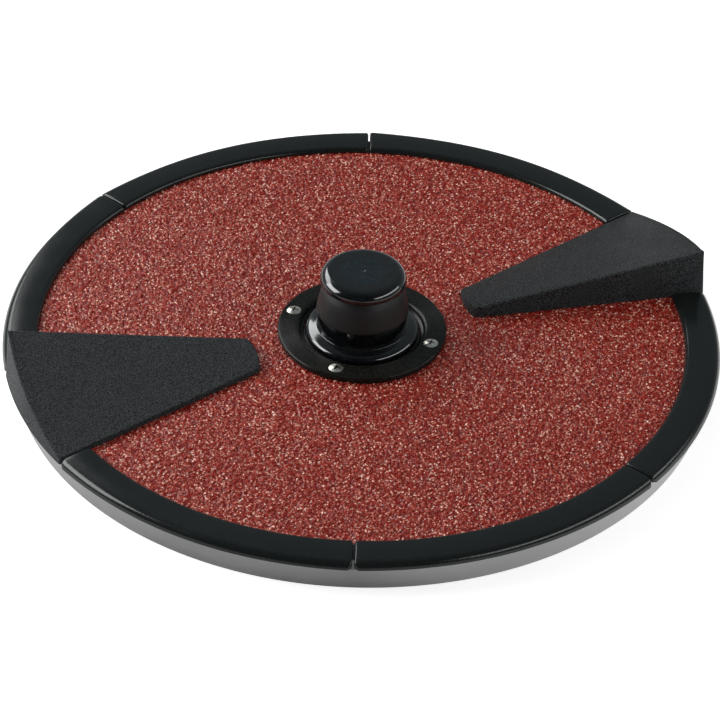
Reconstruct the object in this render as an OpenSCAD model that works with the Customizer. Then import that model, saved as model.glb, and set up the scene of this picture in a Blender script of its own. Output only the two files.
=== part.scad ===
// Abrasive peeling plate of a potato peeler: a cast plate on a skirt band, an abrasive disc,
// six rim segments, two ramp-shaped lifting vanes and a free-turning lifting knob.
// Millimetres, +Z up. Origin at the centre of the plane that the skirt stands on.
// Azimuth 0 runs beside the first vane's leading face.

/* [Plate] */
// Outer radius of the plate and of the skirt under its edge
plate_r = 188.8; // [165:0.1:210]
// Height of the plate, from the skirt's foot to the land under the rim
plate_h = 18.5; // [17:0.1:24]
// Thickness of the skirt
skirt_t = 3.2; // [2.5:0.1:3.8]
// Thickness of the web that carries the disc
web_t = 3.5; // [3:0.1:4.5]
// Depth of the ribs below the web
rib_h = 6; // [3:0.5:7]
// Thickness of the ribs
rib_t = 4; // [3:0.5:6]
// Distance of the ring rib from the ring screws' washers
ring_rib_gap = 2.8; // [1:0.1:10]

/* [Abrasive disc] */
// Thickness of the abrasive disc
disc_t = 3; // [2:0.1:3.5]
// How far the disc runs under the rim segments and under the clamp ring
disc_tuck = 0.8; // [0.2:0.1:1.2]
// Gap between the disc's edge and the plate round it
disc_gap = 0.2; // [0.1:0.05:0.4]

/* [Rim segments] */
// How far the rim stands out over the skirt
rim_over = 6.2; // [5:0.1:12]
// Width of the rim
rim_w = 19.2; // [17.3:0.1:30]
// Height of the rim above the disc
rim_t = 3.4; // [3:0.1:6]
// How far the rim's outer lip hangs below the land
lip_drop = 1.1; // [0.5:0.1:3]
// Gap between the rim's lip and the plate's wall
lip_gap = 0.3; // [0.1:0.1:1]
// Radius of the rim's outer shoulder
shoulder_r = 4.5; // [3.6:0.1:4.5]
// Radius of the rim's inner edge
inner_edge_r = 2.6; // [0.5:0.1:2.8]
// Azimuth where each gap for a vane starts, in degrees
gap_start = 1.3; // [0:0.1:1.4]
// Angle of each gap that a vane fills, in degrees
gap_span = 25; // [24.9:0.1:32]
// Width of the joint between two segments
joint_w = 0.8; // [0.5:0.1:4]
// Angle from a segment's end to its peg, in degrees
peg_inset = 8; // [5:0.5:14]
// Radius of a segment's pegs
peg_r = 2.6; // [2.2:0.1:2.8]
// Radius of the rim screws' shank
rim_screw_r = 1.5; // [1.2:0.1:1.7]
// Radius of the rim screws' washers
peg_washer_r = 3.6; // [3.3:0.1:3.8]
// Distance of those washers from the skirt
peg_back = 0.4; // [0.2:0.1:0.8]

/* [Lifting vanes] */
// How far the vane's outer wall stands back from the rim's outer edge
vane_back = 1.3; // [0:0.1:3]
// Distance of the vane's inner end from the centre, along its leading face
vane_in = 63.6; // [56:0.1:80]
// Distance of the inner end from the centre, along the trailing edge
vane_in_trail = 67; // [58:0.1:85]
// Height of the leading face above the disc at the inner end
vane_h_in = 6; // [5:0.1:12]
// Height of the leading face above the disc at the rim
vane_h_out = 29; // [20:0.5:36]
// Height of the trailing edge above the disc
vane_h_trail = 2.8; // [2:0.1:4.5]
// Direction of the leading face, in degrees
lead_ang = 1; // [0.5:0.1:3]
// Distance of the leading face from the centre, sideways
lead_off = 2.2; // [1:0.1:4]
// Turn of the trailing edge past the gap's end, in degrees
trail_turn = 1.2; // [-1:0.1:1.2]
// Distance of the trailing edge from the centre, sideways
trail_off = 4.4; // [4:0.1:8]
// Wall thickness of the hollow vane
vane_wall = 3; // [2:0.1:3.5]
// Radius of the bosses inside the vane
boss_r = 6; // [5:0.1:7]
// Distance of the first boss from the vane's inner end
boss_first = 37; // [30:0.5:45]
// Distance of the last boss from the rim's inner edge
boss_last = 8; // [7:0.5:15]

/* [Vane fixings] */
// Radius of the vane screws' shank
vane_screw_r = 2.5; // [2:0.1:2.6]
// Outer radius of the threaded inserts
insert_r = 3.5; // [3.3:0.1:4]
// Length of the threaded inserts
insert_h = 6; // [4:0.1:6.2]

/* [Clamp ring] */
// Width of the open groove between the knob's foot and the clamp ring
groove_w = 0.9; // [0.5:0.1:2]
// How far the clamp ring's inner wall slopes outwards
ring_slope = 1.7; // [0.5:0.1:3]
// Width of the clamp ring's top
ring_w = 12.4; // [11:0.1:16]
// Height of the clamp ring's top above the disc
ring_h = 4; // [3.6:0.1:6]
// Thickness of the seal under the clamp ring
seal_t = 0.8; // [0.5:0.1:1.2]
// Azimuth of the first ring screw, in degrees
ring_screw_az = 58.8; // [50:0.1:70]
// Radius of the ring screws' shank
ring_screw_r = 2; // [1.5:0.1:2.1]
// Radius of the ring screws' heads
ring_head_r = 3.9; // [3.4:0.1:4.2]
// Height of the ring screws' raised heads above the ring
ring_head_dome = 0.9; // [0.4:0.1:1.4]

/* [Drive hub] */
// Radius of the drive bore
bore_r = 9; // [7:0.1:10]
// Height of the drive bore's mouth above the standing plane
hub_foot = 1; // [0.5:0.1:3]
// Length of the drive bore
bore_l = 33; // [28:0.5:33.5]
// Wall of the hub below the plate
hub_wall = 6.8; // [4:0.1:7]
// Thickness of the hub's flange
hub_flange_t = 3.5; // [3:0.1:4]
// Wall of the sleeve that the knob turns on
sleeve_wall = 4; // [3:0.1:5]
// Thickness of the roof over the drive bore
bore_roof = 2.5; // [2:0.1:4]
// Wall of the post on top of the sleeve
post_wall = 5; // [3:0.1:5.5]
// Width of the slot for the shaft's cross pin
slot_w = 5.4; // [4:0.1:6]
// Depth of the slot for the shaft's cross pin
slot_h = 6; // [4:0.1:7]
// Radius of the hub screws' shank
hub_screw_r = 3; // [2.5:0.1:3.2]

/* [Lifting knob] */
// Height of the knob's top above the disc
knob_h = 41.5; // [40.5:0.1:48]
// Radius of the knob's foot
knob_foot_r = 31; // [28:0.1:31]
// Radius of the knob's shoulder rounding
knob_foot_round = 2.6; // [1:0.1:3]
// Radius of the knob's waist above the foot
knob_waist_r = 23.6; // [21:0.1:24.3]
// Radius of the knob's body at its widest
knob_body_r = 24.9; // [24:0.1:28]
// Height of the widest place above the disc
knob_body_z = 17.2; // [15:0.1:20]
// Radius of the knob's neck
knob_neck_r = 20.2; // [19:0.1:22]
// Radius of the knob's head
knob_head_r = 23.3; // [22.5:0.1:27]
// Thickness of the knob's head
knob_head_t = 7.3; // [6.5:0.1:9]
// Radius of the rounding round the head's top
knob_head_round = 4; // [2:0.1:4.5]
// Wall of the bush that the knob turns on
bush_t = 2.4; // [1.5:0.1:3]
// Radius of the cap in the knob's top
cap_r = 12; // [11.7:0.1:13]
// Thickness of the cap
cap_t = 1.8; // [1.2:0.1:2.5]
// Width of the step that the cap rests on
cap_step = 0.8; // [0.5:0.1:1.2]
// Gap round the washer that holds the knob down
keeper_gap = 0.8; // [0.3:0.1:1.2]

/* [Clearances] */
// Radial clearance where one piece turns on another
run_gap = 0.05; // [0.02:0.01:0.1]
// Clearance between pieces that are fixed together
seat_gap = 0.05; // [0.02:0.01:0.1]
// Endwise clearance of the turning knob
end_gap = 0.1; // [0.05:0.05:0.3]
// Clearance of a screw in the hole it passes through
hole_gap = 0.25; // [0.15:0.05:0.4]

/* [Hidden] */
$fn = 96;
eps = 0.5;
// how many straight steps stand for a small rounding, a large one and a long curve
small_steps = 4;
round_steps = 6;
long_steps = 8;
hex = 6;
cross_turns = [0, 90];
web_top = plate_h - disc_t;
web_low = web_top - web_t;
rim_r = plate_r + rim_over;
rim_inner_r = rim_r - rim_w;
tray_r = rim_inner_r + disc_tuck + disc_gap;
disc_r = rim_inner_r + disc_tuck;
rim_top = plate_h + rim_t;
lip_low = plate_h - lip_drop;
lip_inner_r = plate_r + lip_gap;
seg_span = (180 - gap_span) / 3;
joint_ang = joint_w / 2 / rim_inner_r * 180 / PI;
peg_pcr = plate_r - skirt_t - peg_washer_r - peg_back;
peg_low = web_low + seat_gap;
ring_foot_r = knob_foot_r + groove_w;
ring_inner_r = ring_foot_r + ring_slope;
ring_r = ring_inner_r + ring_w;
disc_hole_r = ring_foot_r - disc_tuck / 4;
boss_pad_r = disc_hole_r - disc_gap;
rib_count = 3;
rib_end_gap = 1;
washer_t = 1;
trail_ang = gap_start + gap_span + trail_turn;
vane_r = rim_r - vane_back;
vane_far = vane_r + boss_r;
boss_near = vane_in + boss_first;
boss_far = rim_inner_r - boss_last;
boss_us = [boss_near, (boss_near + boss_far) / 2, boss_far];
boss_ts = [0.28, 0.2, 0.5];
vane_boss_at = [for (k = [0:2]) [(boss_us[k] - vane_in) / (vane_far - vane_in), boss_ts[k]]];
cavity_from = 0.2;
cavity_share = 0.7;
boss_sink = 0.6;
rim_head_r = 2.9;
rim_head_h = 2;
slit_l = 3.4;
slit_w = 0.7;
slit_h = 1.2;
vane_washer_r = 5;
vane_head_r = 4.62;
vane_head_h = 3.5;
ring_low = plate_h + seal_t;
ring_top = plate_h + ring_h;
screw_count = 4;
ring_azs = [for (k = [0:screw_count - 1]) ring_screw_az + k * 360 / screw_count];
hub_azs = [for (k = [0:screw_count - 1]) (k + 0.5) * 360 / screw_count];
ring_bevel = 1;
ring_edge = 0.4;
bevel_cut = 0.3;
seal_back = 0.4;
seal_in = 0.3;
ring_washer_r = 4.5;
ring_screw_pcr = (ring_inner_r + ring_r) / 2;
ring_rib_r = ring_screw_pcr + ring_washer_r + ring_rib_gap;
cross_l = 4.2;
cross_w = 0.9;
cross_deep = 0.6;
ring_nut_h = 3.2;
ring_screw_end = 1;
ring_nut_r = 4.04;
hub_head_r = 5.7;
hub_head_h = 4;
hub_screw_short = 2;
hub_edge = 1.8;
hub_barrel_r = bore_r + hub_wall;
hub_head_gap = 1;
hub_screw_pcr = hub_barrel_r + hub_head_r + hub_head_gap;
hub_flange_r = hub_screw_pcr + hub_head_r + hub_edge;
sleeve_r = bore_r + sleeve_wall;
hub_seat_r = sleeve_r + 1;
sleeve_top = hub_foot + bore_l + bore_roof;
post_r = hub_screw_r + post_wall;
thrust_t = 0.8;
thrust_back = 3;
knob_low = plate_h + thrust_t + end_gap;
knob_top = plate_h + knob_h;
knob_well = 13;
knob_bore_r = sleeve_r + run_gap + bush_t + seat_gap;
keeper_z = knob_top - knob_well;
knob_floor = sleeve_top + end_gap;
keeper_t = 1.5;
keeper_screw_gap = 1;
cap_in_r = cap_r - cap_step;
keeper_r = cap_in_r - keeper_gap;
cap_skirt = 5;
keeper_head_r = 5.3;
keeper_head_h = 3.5;
socket_r = 2.9;
socket_h = 2;
// shape of the knob: how deep its foot's rounding starts in the ring, where the waist lies
// between foot and body, and how far the curves between them lean
foot_sink = 2;
waist_share = 0.62;
foot_lean = 0.6;
waist_lean = 3.5;
body_lean = 7;
neck_lean = 0.9;
body_edge = 0.5;
head_under = 0.5;

// points on an arc about c, from angle a to angle b
function arc(c, r, a, b, n) = [for (i = [0:n]) let (t = a + (b - a) * i / n) c + r * [cos(t), sin(t)]];
// points on a curve from p to q that leans towards m, without p itself
function bend(p, m, q, n) =
    [for (i = [1:n]) let (t = i / n, u = 1 - t) u * u * p + 2 * t * u * m + t * t * q];
// azimuths where the segments start, and where their pegs stand
function seg_start(k) = gap_start + gap_span + seg_span * (k % 3) + 180 * floor(k / 3);
function peg_az(k) = [seg_start(k) + peg_inset, seg_start(k) + seg_span - peg_inset];
rim_pegs = [for (k = [0:5]) for (a = peg_az(k)) a];

// a point of the vane's plan: s runs outwards, t from the leading face to the trailing edge
function line_at(a, off, u) = u * [cos(a), sin(a)] + off * [-sin(a), cos(a)];
function lead_u(s) = vane_in + (vane_far - vane_in) * s;
function lead_at(s) = line_at(lead_ang, lead_off, lead_u(s));
function trail_at(s) = line_at(trail_ang, -trail_off, vane_in_trail + (vane_far - vane_in_trail) * s);
function vane_at(s, t) = lead_at(s) * (1 - t) + trail_at(s) * t;
// height of the vane's top, a ruled surface between the two edges
function lead_h(s) = vane_h_in + (vane_h_out - vane_h_in) * (lead_u(s) - vane_in) / (vane_r - vane_in);
function vane_z(s, t) = plate_h + lead_h(s) * (1 - t) + vane_h_trail * t;
function wall_share(s) = 1 / norm(trail_at(s) - lead_at(s));

module ring_at(r, z, pegs) {
    for (a = pegs) rotate([0, 0, a]) translate([r, 0, z]) children();
}

module tube(r_out, r_in, z0, z1) {
    difference() {
        translate([0, 0, z0]) cylinder(r = r_out, h = z1 - z0);
        translate([0, 0, z0 - eps]) cylinder(r = r_in, h = z1 - z0 + 2 * eps);
    }
}

module vane_places(z) {
    for (side = [0, 180]) rotate([0, 0, side])
        for (b = vane_boss_at) translate(concat(vane_at(b[0], b[1]), z)) children();
}

module plate_rib() {
    translate([ring_rib_r, -rib_t / 2, web_low - rib_h])
        cube([plate_r - skirt_t - rib_end_gap - ring_rib_r, rib_t, rib_h + web_t / 2]);
}

module carrier_plate() {
    color("silver") difference() {
        union() {
            tube(plate_r, tray_r, web_low, plate_h);
            translate([0, 0, web_low]) cylinder(r = tray_r + eps, h = web_t);
            translate([0, 0, web_low]) cylinder(r = boss_pad_r, h = plate_h - web_low);
            tube(ring_rib_r + rib_t, ring_rib_r, web_low - rib_h, web_low + web_t / 2);
            for (k = [0:rib_count - 1]) for (side = [0, 180])
                rotate([0, 0, side + seg_start(k) + seg_span / 2]) plate_rib();
        }
        translate([0, 0, web_low - eps]) cylinder(r = hub_seat_r, h = plate_h);
        ring_at(peg_pcr, web_low - eps, rim_pegs) cylinder(r = peg_r + hole_gap, h = plate_h);
        vane_places(web_low - eps) cylinder(r = vane_screw_r + hole_gap, h = web_t + 2 * eps);
        ring_at(ring_screw_pcr, web_low - eps, ring_azs)
            cylinder(r = ring_screw_r + hole_gap, h = web_t + 2 * eps);
        ring_at(hub_screw_pcr, web_low - eps, hub_azs)
            cylinder(r = hub_screw_r + seat_gap, h = plate_h - web_low - eps);
    }
}

module skirt_band() {
    color("darkgray") tube(plate_r, plate_r - skirt_t, 0, web_low);
}

module abrasive_disc() {
    color("#7a2f30") difference() {
        tube(disc_r, disc_hole_r, web_top, plate_h);
        vane_places(web_top - eps) cylinder(r = vane_screw_r + hole_gap, h = disc_t + 2 * eps);
        ring_at(ring_screw_pcr, web_top - eps, ring_azs)
            cylinder(r = ring_screw_r + hole_gap, h = disc_t + 2 * eps);
    }
}

// section of a rim segment: flat foot on the land, a lip outside and a rounded shoulder
module rim_section() {
    polygon(concat(
        [[rim_inner_r, plate_h], [lip_inner_r, plate_h], [lip_inner_r, lip_low]],
        [[rim_r, lip_low]],
        arc([rim_r - shoulder_r, rim_top - shoulder_r], shoulder_r, 0, 90, long_steps),
        arc([rim_inner_r + inner_edge_r, rim_top - inner_edge_r], inner_edge_r, 90, 180, round_steps)));
}

module rim_segment(k) {
    color("#24282a") difference() {
        union() {
            rotate([0, 0, seg_start(k) + joint_ang])
                rotate_extrude(angle = seg_span - 2 * joint_ang) rim_section();
            ring_at(peg_pcr, peg_low, peg_az(k)) cylinder(r = peg_r, h = plate_h + rim_t / 2 - peg_low);
        }
        ring_at(peg_pcr, peg_low - eps, peg_az(k))
            cylinder(r = rim_screw_r + seat_gap, h = plate_h - peg_low + eps);
    }
}

module rim_screws() {
    color("lightgray") ring_at(peg_pcr, web_low - washer_t, rim_pegs) {
        cylinder(r = rim_screw_r, h = plate_h - web_low + washer_t - eps);
        translate([0, 0, -rim_head_h]) difference() {
            cylinder(r = rim_head_r, h = rim_head_h);
            for (a = cross_turns) rotate([0, 0, a])
                translate([-slit_l / 2, -slit_w / 2, -eps]) cube([slit_l, slit_w, slit_h + eps]);
        }
    }
}

module rim_washers() {
    color("gainsboro") ring_at(peg_pcr, web_low - washer_t, rim_pegs)
        tube(peg_washer_r, rim_screw_r + hole_gap, 0, washer_t);
}

// block under the vane's ruled top, from z0 up to wall below the top and wall behind the leading face
module vane_block(s0, t1, wall, z0) {
    n = long_steps;
    top = [for (i = [0:n]) for (j = [0:n])
        let (s = s0 + (1 - s0) * i / n, t0 = wall * wall_share(s), t = t0 + (t1 - t0) * j / n)
        concat(vane_at(s, t), vane_z(s, t) - wall)];
    m = len(top);
    low = [for (c = [0, n, m - 1, m - 1 - n]) [top[c][0], top[c][1], z0]];
    quads = [for (i = [0:n - 1]) for (j = [0:n - 1]) let (c = i * (n + 1) + j)
        for (f = [[c, c + 1, c + n + 1], [c + 1, c + n + 2, c + n + 1]]) f];
    inner = concat([m, m + 1], [for (j = [n:-1:0]) j]);
    trail = concat([m + 1, m + 2], [for (i = [n:-1:0]) i * (n + 1) + n]);
    outer = concat([m + 2, m + 3], [for (j = [0:n]) n * (n + 1) + j]);
    lead = concat([m + 3, m], [for (i = [0:n]) i * (n + 1)]);
    polyhedron(points = concat(top, low),
               faces = concat(quads, [inner, trail, outer, lead, [m, m + 3, m + 2, m + 1]]));
}

module vane() {
    color("#2b2f30") difference() {
        intersection() {
            vane_block(0, 1, 0, lip_low);
            translate([0, 0, lip_low - eps]) cylinder(r = vane_r, h = vane_h_out * 2);
        }
        translate([0, 0, lip_low - eps]) cylinder(r = lip_inner_r, h = lip_drop + eps);
        difference() {
            intersection() {
                vane_block(cavity_from, cavity_share, vane_wall, lip_low);
                translate([0, 0, lip_low - eps]) cylinder(r = vane_r - vane_wall, h = vane_h_out * 2);
            }
            for (b = vane_boss_at) translate(concat(vane_at(b[0], b[1]), plate_h))
                cylinder(r = boss_r, h = vane_z(b[0], b[1]) - vane_wall + boss_sink - plate_h);
        }
        for (b = vane_boss_at) translate(concat(vane_at(b[0], b[1]), plate_h - eps))
            cylinder(r = insert_r + seat_gap, h = insert_h + 2 * eps);
    }
}

module vane_inserts() {
    color("goldenrod") vane_places(plate_h) tube(insert_r, vane_screw_r + seat_gap, 0, insert_h);
}

module vane_screws() {
    color("lightgray") vane_places(web_low - washer_t) {
        cylinder(r = vane_screw_r, h = plate_h + insert_h - eps - web_low + washer_t);
        translate([0, 0, -vane_head_h]) cylinder(r = vane_head_r, h = vane_head_h, $fn = hex);
    }
}

module vane_washers() {
    color("gainsboro") vane_places(web_low - washer_t)
        tube(vane_washer_r, vane_screw_r + hole_gap, 0, washer_t);
}

module clamp_ring() {
    color("#15181a") difference() {
        rotate_extrude() polygon([
            [ring_foot_r, ring_low], [ring_r, ring_low], [ring_r, ring_top - ring_bevel],
            [ring_r - ring_bevel * bevel_cut, ring_top - ring_bevel * bevel_cut],
            [ring_r - ring_bevel, ring_top], [ring_inner_r + ring_edge, ring_top],
            [ring_inner_r, ring_top - ring_edge], [ring_foot_r, ring_low + ring_bevel]]);
        ring_at(ring_screw_pcr, ring_low - eps, ring_azs)
            cylinder(r = ring_screw_r + hole_gap, h = ring_h);
        ring_at(ring_screw_pcr, ring_top - ring_head_r + ring_screw_r, ring_azs)
            cylinder(r1 = ring_screw_r + seat_gap, r2 = ring_head_r + seat_gap,
                     h = ring_head_r - ring_screw_r);
    }
}

module ring_seal() {
    color("#101010") difference() {
        tube(ring_r - seal_back, ring_foot_r + seal_in, plate_h, ring_low);
        ring_at(ring_screw_pcr, plate_h - eps, ring_azs)
            cylinder(r = ring_screw_r + hole_gap, h = seal_t + 2 * eps);
    }
}

// raised countersunk head with a cross recess, on a shank that ends below the nut
module ring_screw() {
    cone_h = ring_head_r - ring_screw_r;
    shank_l = ring_top - web_low + washer_t + ring_nut_h + ring_screw_end;
    dome_r = (ring_head_r * ring_head_r + ring_head_dome * ring_head_dome) / 2 / ring_head_dome;
    difference() {
        union() {
            translate([0, 0, -cone_h]) cylinder(r1 = ring_screw_r, r2 = ring_head_r, h = cone_h);
            translate([0, 0, -shank_l]) cylinder(r = ring_screw_r, h = shank_l);
            rotate_extrude() polygon(concat([[0, 0]],
                arc([0, ring_head_dome - dome_r], dome_r, 90 - asin(ring_head_r / dome_r), 90, round_steps)));
        }
        for (a = cross_turns) rotate([0, 0, a])
            translate([-cross_l / 2, -cross_w / 2, -cross_deep])
                cube([cross_l, cross_w, cross_deep + ring_h]);
    }
}

module ring_screws() {
    color("white") ring_at(ring_screw_pcr, ring_top, ring_azs) ring_screw();
}

module ring_washers() {
    color("gainsboro") ring_at(ring_screw_pcr, web_low - washer_t, ring_azs)
        tube(ring_washer_r, ring_screw_r + hole_gap, 0, washer_t);
}

module ring_nuts() {
    color("lightgray") ring_at(ring_screw_pcr, web_low - washer_t - ring_nut_h, ring_azs)
        difference() {
            cylinder(r = ring_nut_r, h = ring_nut_h, $fn = hex);
            translate([0, 0, -eps]) cylinder(r = ring_screw_r + seat_gap, h = ring_nut_h + 2 * eps);
        }
}

module drive_hub() {
    color("lightslategray") difference() {
        union() {
            translate([0, 0, hub_foot]) cylinder(r = hub_barrel_r, h = web_low - hub_foot);
            translate([0, 0, web_low - hub_flange_t]) cylinder(r = hub_flange_r, h = hub_flange_t);
            translate([0, 0, web_low]) cylinder(r = hub_seat_r - seat_gap, h = plate_h - web_low);
            translate([0, 0, plate_h]) cylinder(r = sleeve_r, h = sleeve_top - plate_h);
            translate([0, 0, sleeve_top]) cylinder(r = post_r, h = keeper_z + end_gap - sleeve_top);
        }
        translate([0, 0, hub_foot - eps]) cylinder(r = bore_r, h = bore_l + eps);
        translate([-hub_barrel_r - eps, -slot_w / 2, hub_foot - eps])
            cube([2 * hub_barrel_r + 2 * eps, slot_w, slot_h + eps]);
        ring_at(hub_screw_pcr, web_low - hub_flange_t - eps, hub_azs)
            cylinder(r = hub_screw_r + hole_gap, h = hub_flange_t + 2 * eps);
        translate([0, 0, sleeve_top + eps]) cylinder(r = hub_screw_r + seat_gap, h = knob_h);
    }
}

module hub_screws() {
    color("dimgray") ring_at(hub_screw_pcr, web_low - hub_flange_t, hub_azs) {
        cylinder(r = hub_screw_r, h = plate_h - web_low + hub_flange_t - hub_screw_short);
        translate([0, 0, -hub_head_h]) cylinder(r = hub_head_r, h = hub_head_h, $fn = hex);
    }
}

module thrust_washer() {
    color("ivory") tube(knob_foot_r - thrust_back, sleeve_r + run_gap, plate_h, plate_h + thrust_t);
}

module knob_bush() {
    color("peru") tube(sleeve_r + run_gap + bush_t, sleeve_r + run_gap, knob_low, sleeve_top);
}

// outer shape of the knob: rounded foot, waist, bulged body, neck and a rounded head
module knob_section() {
    foot_z = ring_top - foot_sink;
    foot = [knob_foot_r - knob_foot_round, foot_z + knob_foot_round];
    waist = [knob_waist_r, plate_h + knob_body_z * waist_share];
    edge = [knob_body_r - body_edge, plate_h + knob_body_z - body_edge];
    body = [knob_body_r, plate_h + knob_body_z];
    head_z = knob_top - knob_head_t;
    neck = [knob_neck_r, head_z - neck_lean];
    polygon(concat(
        [[knob_bore_r, knob_low], [knob_foot_r, knob_low]],
        arc([knob_foot_r - knob_foot_round, foot_z], knob_foot_round, 0, 90, round_steps),
        bend(foot, [knob_waist_r + foot_lean, foot[1] + foot_lean], waist, long_steps),
        bend(waist, [knob_waist_r, waist[1] + waist_lean], edge, small_steps),
        [body],
        bend(body, [knob_body_r - neck_lean, body[1] + body_lean], neck, round_steps),
        [[knob_neck_r, head_z], [knob_head_r - 3 * head_under, head_z + head_under / 2]],
        [[knob_head_r - head_under, head_z + 2 * head_under], [knob_head_r, head_z + 4 * head_under]],
        arc([knob_head_r - knob_head_round, knob_top - knob_head_round], knob_head_round, 0, 90, long_steps),
        [[cap_r + seat_gap, knob_top], [cap_r + seat_gap, knob_top - cap_t], [cap_in_r, knob_top - cap_t]],
        [[cap_in_r, keeper_z], [post_r + run_gap, keeper_z],
         [post_r + run_gap, knob_floor], [knob_bore_r, knob_floor]]));
}

module lifting_knob() {
    color("#0c0f11") rotate_extrude() knob_section();
}

module knob_cap() {
    color("#0e1214") {
        translate([0, 0, knob_top - cap_t]) cylinder(r = cap_r, h = cap_t);
        tube(cap_in_r - seat_gap, cap_in_r - cap_t, knob_top - cap_skirt, knob_top - cap_t / 2);
    }
}

module keeper_washer() {
    z = keeper_z + end_gap;
    color("gainsboro") tube(keeper_r, hub_screw_r + hole_gap, z, z + keeper_t);
}

module keeper_screw() {
    z = keeper_z + end_gap + keeper_t;
    color("lightgray") difference() {
        union() {
            translate([0, 0, z]) cylinder(r = keeper_head_r, h = keeper_head_h);
            translate([0, 0, sleeve_top + keeper_screw_gap])
                cylinder(r = hub_screw_r, h = z - sleeve_top - keeper_screw_gap + eps);
        }
        translate([0, 0, z + keeper_head_h - socket_h]) cylinder(r = socket_r, h = socket_h + eps, $fn = hex);
    }
}

carrier_plate();
skirt_band();
abrasive_disc();
rim_segment(0);  // rim_segment_1
rim_segment(1);  // rim_segment_2
rim_segment(2);  // rim_segment_3
rim_segment(3);  // rim_segment_4
rim_segment(4);  // rim_segment_5
rim_segment(5);  // rim_segment_6
rim_screws();
rim_washers();
vane();  // vane_1
rotate([0, 0, 180]) vane();  // vane_2
vane_inserts();
vane_screws();
vane_washers();
clamp_ring();
ring_seal();
ring_screws();
ring_washers();
ring_nuts();
drive_hub();
hub_screws();
thrust_washer();
knob_bush();
lifting_knob();
knob_cap();
keeper_washer();
keeper_screw();
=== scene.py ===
import math

import bpy
import numpy as np
from mathutils import Matrix, Vector


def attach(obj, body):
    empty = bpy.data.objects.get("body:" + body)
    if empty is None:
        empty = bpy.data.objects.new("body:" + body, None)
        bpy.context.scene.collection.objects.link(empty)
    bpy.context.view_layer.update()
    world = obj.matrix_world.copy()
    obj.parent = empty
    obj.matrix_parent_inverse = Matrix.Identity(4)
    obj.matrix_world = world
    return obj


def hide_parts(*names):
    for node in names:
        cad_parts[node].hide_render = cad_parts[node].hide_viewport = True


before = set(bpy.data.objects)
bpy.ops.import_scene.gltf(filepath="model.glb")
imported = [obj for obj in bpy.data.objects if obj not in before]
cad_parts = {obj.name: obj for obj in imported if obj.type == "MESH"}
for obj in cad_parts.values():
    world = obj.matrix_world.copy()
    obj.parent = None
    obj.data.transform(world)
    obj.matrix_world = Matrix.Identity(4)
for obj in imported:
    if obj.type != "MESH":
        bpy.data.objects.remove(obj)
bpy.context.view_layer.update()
print("frame loaded,", len(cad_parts), "nodes")

mm = 0.001  # shapes are worked out in millimetres and stored in metres


# mesh helpers

def gridFaces(rows, cols, wrapRows=False, wrapCols=False):
    # four corners of each cell of a grid of points that is stored row by row
    i = np.arange(rows if wrapRows else rows - 1)[:, None]
    j = np.arange(cols if wrapCols else cols - 1)[None, :]
    down, right = (i + 1) % rows, (j + 1) % cols
    corners = [i * cols + j, i * cols + right, down * cols + right, down * cols + j]
    return np.stack([np.broadcast_to(c, (i.size, j.size)) for c in corners], -1).reshape(-1, 4)


def makePiece(name, points, faces, materials, body, sharp=35, materialRows=None):
    # points in mm, faces as a list of index arrays with three or more corners each
    mesh = bpy.data.meshes.new(name)
    faces = [np.asarray(f, dtype=np.int32) for f in faces if len(f)]
    loops = np.concatenate([f.ravel() for f in faces])
    sizes = np.concatenate([np.full(len(f), f.shape[1], dtype=np.int32) for f in faces])
    starts = np.concatenate([[0], np.cumsum(sizes)[:-1]]).astype(np.int32)
    mesh.vertices.add(len(points))
    mesh.vertices.foreach_set("co", (np.asarray(points) * mm).astype(np.float32).ravel())
    mesh.loops.add(len(loops))
    mesh.loops.foreach_set("vertex_index", loops)
    mesh.polygons.add(len(sizes))
    mesh.polygons.foreach_set("loop_start", starts)
    mesh.polygons.foreach_set("use_smooth", np.ones(len(sizes), dtype=bool))
    for material in materials:
        mesh.materials.append(material)
    if materialRows is not None:
        mesh.polygons.foreach_set("material_index", np.asarray(materialRows, dtype=np.int32))
    mesh.update(calc_edges=True)
    mesh.validate()
    mesh.set_sharp_from_angle(angle=math.radians(sharp))
    piece = bpy.data.objects.new(name, mesh)
    bpy.context.scene.collection.objects.link(piece)
    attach(piece, body)
    return piece


def arc(centreR, centreZ, radius, fromDeg, toDeg, steps):
    # points on a circle: (centre + radius cos a, centre + radius sin a)
    a = np.radians(np.linspace(fromDeg, toDeg, steps + 1))
    return np.stack([centreR + radius * np.cos(a), centreZ + radius * np.sin(a)], -1)


def subdivide(profile, longest, closed=False):
    # extra points on the straight runs of a profile, so that no run is longer than the given length
    ends = np.roll(profile, -1, axis=0) if closed else profile[1:]
    begins = profile if closed else profile[:-1]
    counts = np.maximum(1, np.ceil(np.linalg.norm(ends - begins, axis=1) / longest).astype(int))
    runs = [b + (e - b) * np.arange(n)[:, None] / n for b, e, n in zip(begins, ends, counts)]
    return np.concatenate(runs + ([] if closed else [profile[-1:]]))


def cutCorners(points, rounds):
    # each corner is cut at a quarter of its two edges, again and again:
    # near = 3/4 a + 1/4 b and far = 1/4 a + 3/4 b
    for step in range(rounds):
        near = points[:-1] * 0.75 + points[1:] * 0.25
        far = points[:-1] * 0.25 + points[1:] * 0.75
        inner = np.stack([near, far], 1).reshape(-1, 2)
        points = np.concatenate([points[:1], inner[1:-1], points[-1:]])
    return points


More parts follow.
